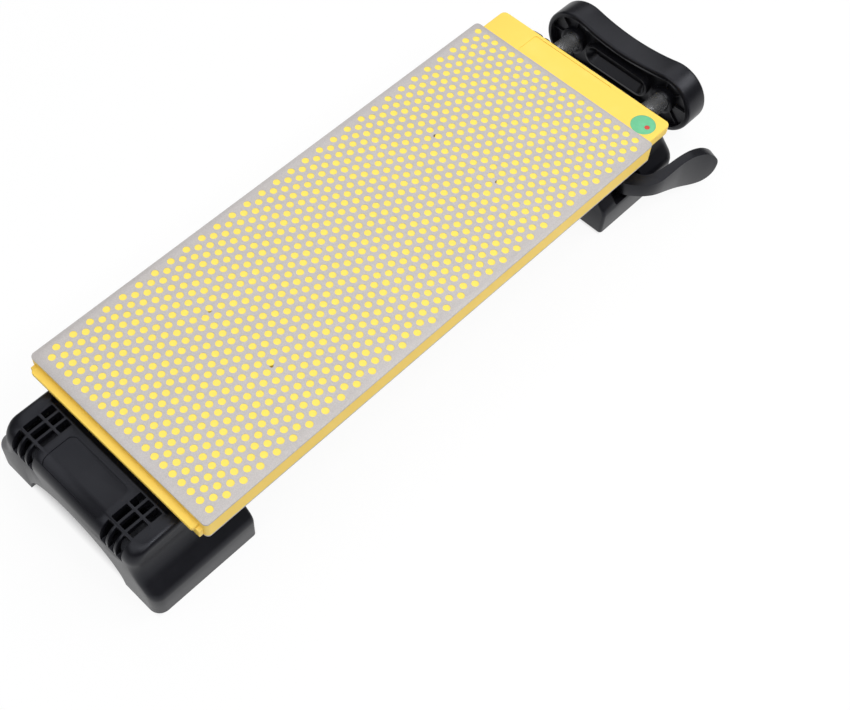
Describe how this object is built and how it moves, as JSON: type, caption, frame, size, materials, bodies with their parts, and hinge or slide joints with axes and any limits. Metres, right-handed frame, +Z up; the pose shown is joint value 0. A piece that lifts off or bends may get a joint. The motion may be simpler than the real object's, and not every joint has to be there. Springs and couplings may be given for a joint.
{
  "type": "bench stone",
  "caption": "Long two-sided sharpening stone with dotted steel faces, held endwise between a fixed block and a sliding block on two guide rods, with a cam lever lock and a pull handle.",
  "frame": {"origin": "middle of the footprint, on the bench under the rubber feet", "axes": "+X along the stone from the fixed block towards the handle, +Y away from the lever side, +Z up out of the sharpening face"},
  "size_m": [0.3356, 0.1156, 0.045],
  "materials": {
    "black_plastic": "satin moulded",
    "black_rubber": "matt",
    "yellow_plastic": "satin moulded",
    "plated_steel": "matt nickel over fine grit",
    "rod_chrome": "polished",
    "screw_steel": "zinc plated",
    "green_plastic": "matt",
    "red_plastic": "matt"
  },
  "bodies": {
    "base": {"fixed_block": "black_plastic", "fixed_seat_pad": "black_rubber", "fixed_foot_near": "black_rubber", "fixed_foot_far": "black_rubber", "rod_near": "rod_chrome", "rod_far": "rod_chrome", "lock_screw_near": "screw_steel", "lock_screw_far": "screw_steel", "handle": "black_plastic", "handle_screw_near": "screw_steel", "handle_screw_far": "screw_steel"},
    "slider": {"slider_block": "black_plastic", "slider_seat_pad": "black_rubber", "slider_foot_near": "black_rubber", "slider_foot_far": "black_rubber", "pivot_pin": "screw_steel", "washer_lower": "screw_steel", "washer_upper": "screw_steel"},
    "lever": {"cam_lever": "black_plastic"},
    "shoe": {"brake_shoe": "black_rubber"},
    "stone": {"stone_core": "yellow_plastic", "face_plate_upper": "plated_steel", "face_plate_lower": "plated_steel", "grade_disc_upper": "green_plastic", "grade_dot_upper": "red_plastic", "grade_disc_lower": "red_plastic", "grade_dot_lower": "green_plastic"}
  },
  "joints": [
    {"name": "slider_slide", "type": "slide", "parent": "base", "child": "slider", "axis": [1, 0, 0], "range_m": [0, 0.0135]},
    {"name": "lever_turn", "type": "hinge", "parent": "slider", "child": "lever", "pos_m": [0.1076, -0.03096, 0.0205], "axis": [0, 0, -1], "range_deg": [0, 30]},
    {"name": "shoe_slide", "type": "slide", "parent": "slider", "child": "shoe", "axis": [0, -1, 0], "range_m": [0, 0.0005]},
    {"name": "stone_lift", "type": "slide", "parent": "base", "child": "stone", "axis": [0, 0, 1], "range_m": [0, 0.06]}
  ],
  "couplings": [
    {"joint": "shoe_slide", "follows": "lever_turn", "m_per_rad": 0.00085944}
  ]
}
